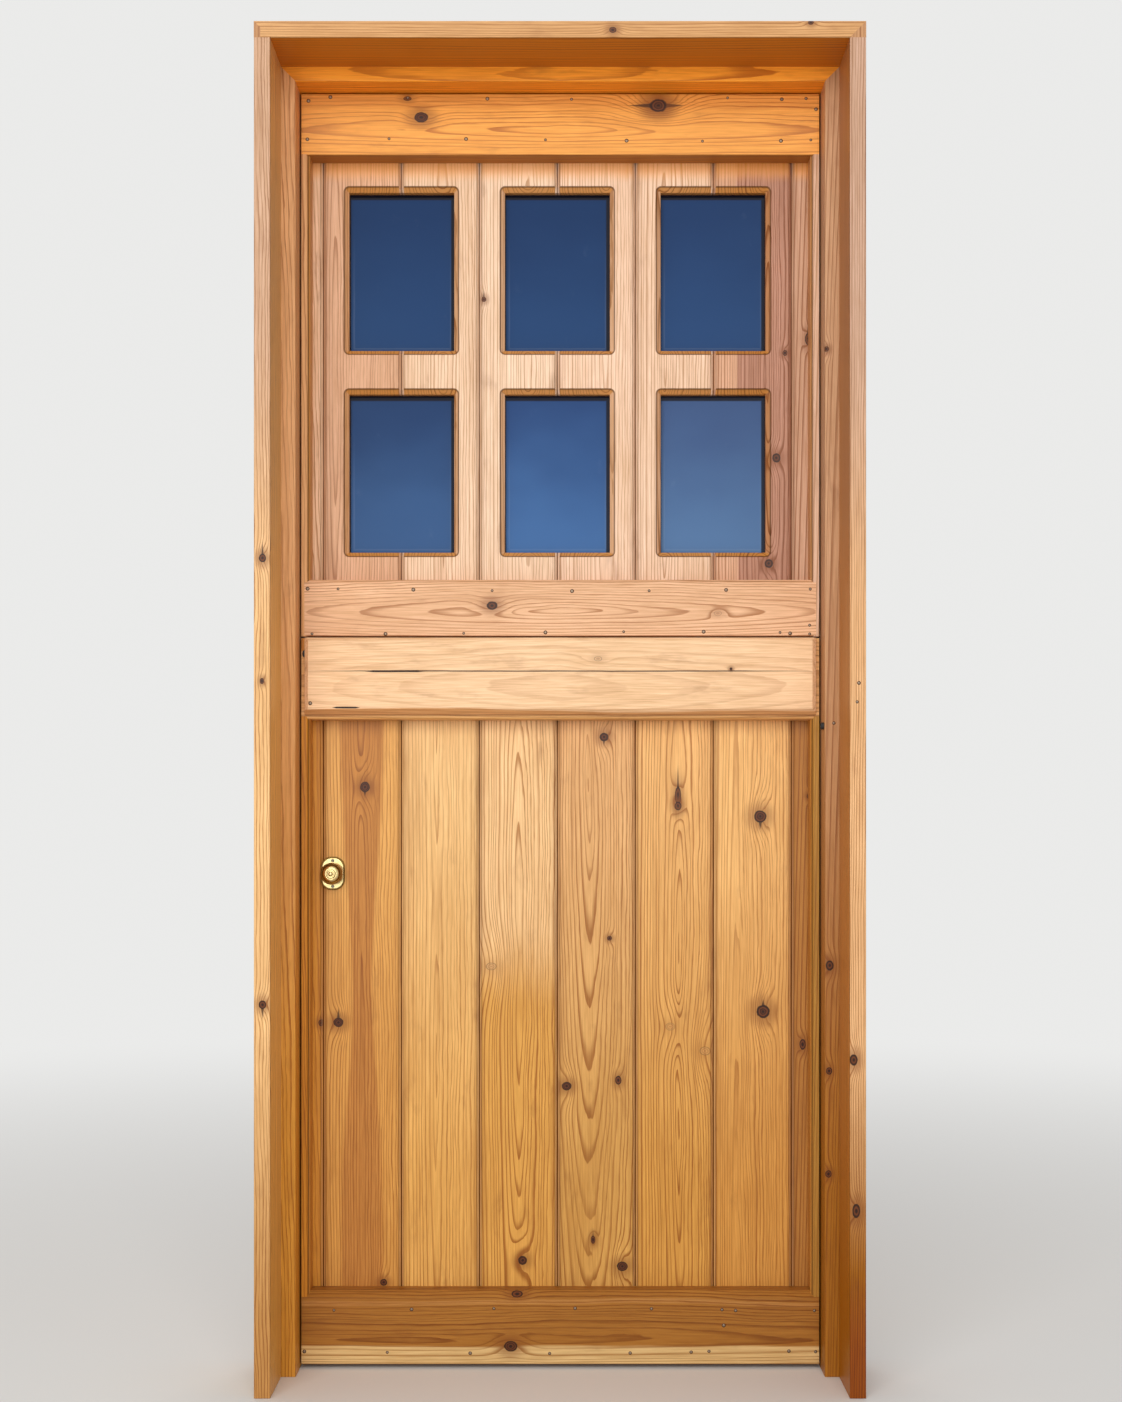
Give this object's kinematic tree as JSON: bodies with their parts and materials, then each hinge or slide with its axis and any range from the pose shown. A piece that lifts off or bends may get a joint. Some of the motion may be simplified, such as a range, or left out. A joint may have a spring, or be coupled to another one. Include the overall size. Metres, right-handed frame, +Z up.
{
  "type": "dutch stable door",
  "caption": "Varnished pine stable door in its frame and casing, two leaves opening one above the other, six small windows, a weatherboard and a brass knob.",
  "frame": {"origin": "on the floor, in the middle of the whole footprint", "axes": "+Z up, +X to the right seen from outside, +Y from outside into the building"},
  "size_m": [0.98, 0.278, 2.204],
  "materials": {
    "pine_casing": "satin varnish",
    "pine_frame": "satin varnish",
    "pine_boards": "satin varnish",
    "pine_rails": "satin varnish",
    "pine_strips": "satin varnish",
    "pine_beads": "satin varnish",
    "window_glass": "clear",
    "polished_brass": "polished, worn",
    "latch_brass": "bright",
    "black_iron": "satin black",
    "bolt_steel": "brushed",
    "screw_steel": "dull"
  },
  "bodies": {
    "frame": {"casing_corner_fillers": "pine_casing", "casing_head": "pine_casing", "casing_left": "pine_casing", "casing_right": "pine_casing", "frame_head": "pine_frame", "frame_jamb_left": "pine_frame", "frame_jamb_right": "pine_frame", "frame_screws": "screw_steel", "hinge_hook_lower_bottom": "black_iron", "hinge_hook_lower_top": "black_iron", "hinge_hook_upper_bottom": "black_iron", "hinge_hook_upper_top": "black_iron", "latch_keeper": "black_iron"},
    "upper_leaf": {"glazing_beads": "pine_beads", "hinge_band_upper_bottom": "black_iron", "hinge_band_upper_top": "black_iron", "pane_1": "window_glass", "pane_2": "window_glass", "pane_3": "window_glass", "pane_4": "window_glass", "pane_5": "window_glass", "pane_6": "window_glass", "tie_bolt_plate": "black_iron", "upper_bottom_rail": "pine_rails", "upper_plank_1": "pine_boards", "upper_plank_2": "pine_boards", "upper_plank_3": "pine_boards", "upper_plank_4": "pine_boards", "upper_plank_5": "pine_boards", "upper_plank_6": "pine_boards", "upper_plank_7": "pine_boards", "upper_plank_8": "pine_boards", "upper_screws": "screw_steel", "upper_strip_left": "pine_strips", "upper_strip_right": "pine_strips", "upper_top_rail": "pine_rails"},
    "lower_leaf": {"hinge_band_lower_bottom": "black_iron", "hinge_band_lower_top": "black_iron", "knob_rosette": "polished_brass", "latch_case": "black_iron", "lower_bottom_rail": "pine_rails", "lower_lock_rail": "pine_rails", "lower_plank_1": "pine_boards", "lower_plank_2": "pine_boards", "lower_plank_3": "pine_boards", "lower_plank_4": "pine_boards", "lower_plank_5": "pine_boards", "lower_plank_6": "pine_boards", "lower_plank_7": "pine_boards", "lower_plank_8": "pine_boards", "lower_screws": "screw_steel", "lower_strip_left": "pine_strips", "lower_strip_right": "pine_strips", "tie_bolt_keeper": "black_iron", "weatherboard": "pine_rails"},
    "knob": {"knob_inner": "polished_brass", "knob_outer": "polished_brass", "latch_follower": "latch_brass"},
    "latch_bolt_body": {"latch_bolt": "latch_brass"},
    "tie_bolt": {"tie_bolt_rod": "bolt_steel"}
  },
  "joints": [
    {"name": "upper_leaf_hinge", "type": "hinge", "parent": "frame", "child": "upper_leaf", "pos_m": [0.4535, 0.098, 1.7], "axis": [0, 0, -1], "range_deg": [0, 120]},
    {"name": "lower_leaf_hinge", "type": "hinge", "parent": "frame", "child": "lower_leaf", "pos_m": [0.4535, 0.098, 0.6], "axis": [0, 0, -1], "range_deg": [0, 120]},
    {"name": "knob_turn", "type": "hinge", "parent": "lower_leaf", "child": "knob", "pos_m": [-0.3883, 0.095, 0.835], "axis": [0, -1, 0], "range_deg": [0, 60]},
    {"name": "latch_bolt_slide", "type": "slide", "parent": "lower_leaf", "child": "latch_bolt_body", "axis": [-1, 0, 0], "range_m": [0, 0.012]},
    {"name": "tie_bolt_slide", "type": "slide", "parent": "upper_leaf", "child": "tie_bolt", "axis": [0, 0, -1], "range_m": [0, 0.03]}
  ],
  "couplings": [
    {"joint": "latch_bolt_slide", "follows": "knob_turn", "m_per_rad": 0.011459}
  ]
}
